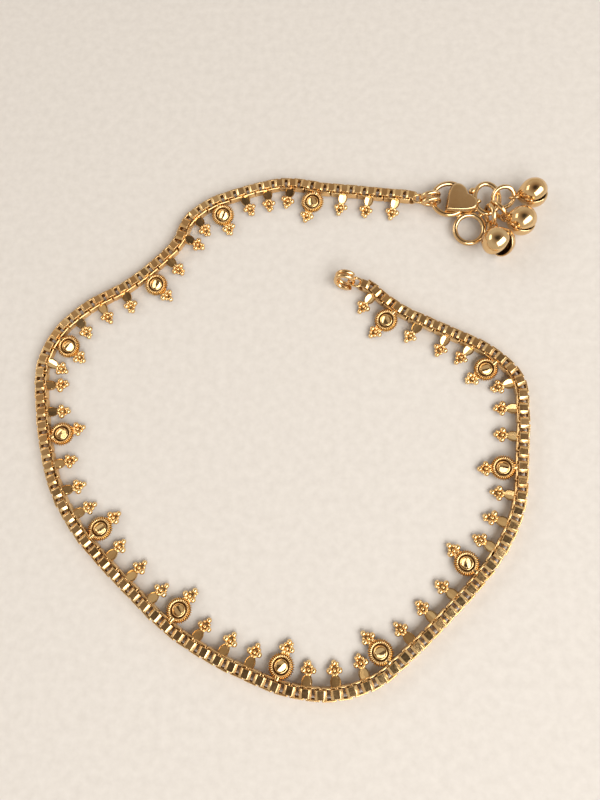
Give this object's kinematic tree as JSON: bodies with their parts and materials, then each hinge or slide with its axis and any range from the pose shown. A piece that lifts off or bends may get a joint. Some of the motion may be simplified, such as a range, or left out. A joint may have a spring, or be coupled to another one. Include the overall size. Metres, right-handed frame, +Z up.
{
  "type": "anklet",
  "caption": "Gold-plated anklet lying open: box chain with round rosettes and leaf drops on its inner side, heart clasp and small round bells",
  "frame": {"origin": "middle of the whole anklet seen from above, on the surface it lies on", "axes": "+Z up from the surface, +X towards the bells, +Y towards the heart clasp end of the loop"},
  "size_m": [0.088, 0.0866, 0.0049],
  "materials": {
    "chain_gold": "polished box chain plated in yellow gold, brown tarnish between the links",
    "drop_gold": "cast drops with bright cut facets and darker recesses",
    "clasp_gold": "polished wire and plate with fine scratches and solder spots"
  },
  "bodies": {
    "root": {"chain": "chain_gold", "leaf_drops_01": "drop_gold", "rosette_drop_01": "drop_gold", "leaf_drops_02": "drop_gold", "rosette_drop_02": "drop_gold", "leaf_drops_03": "drop_gold", "rosette_drop_03": "drop_gold", "leaf_drops_04": "drop_gold", "rosette_drop_04": "drop_gold", "leaf_drops_05": "drop_gold", "rosette_drop_05": "drop_gold", "leaf_drops_06": "drop_gold", "rosette_drop_06": "drop_gold", "leaf_drops_07": "drop_gold", "rosette_drop_07": "drop_gold", "leaf_drops_08": "drop_gold", "rosette_drop_08": "drop_gold", "leaf_drops_09": "drop_gold", "rosette_drop_09": "drop_gold", "leaf_drops_10": "drop_gold", "rosette_drop_10": "drop_gold", "leaf_drops_11": "drop_gold", "rosette_drop_11": "drop_gold", "leaf_drops_12": "drop_gold", "rosette_drop_12": "drop_gold", "leaf_drops_13": "drop_gold", "rosette_drop_13": "drop_gold", "leaf_drops_14": "drop_gold", "hook_ring": "clasp_gold", "chain_end_hook": "chain_gold", "clasp_ring": "clasp_gold", "chain_end_clasp": "chain_gold", "heart_clasp": "clasp_gold", "bell_ring_1": "clasp_gold", "bell_1": "clasp_gold", "bell_ring_2": "clasp_gold", "bell_2": "clasp_gold", "bell_ring_3": "clasp_gold", "bell_3": "clasp_gold"}
  },
  "joints": []
}
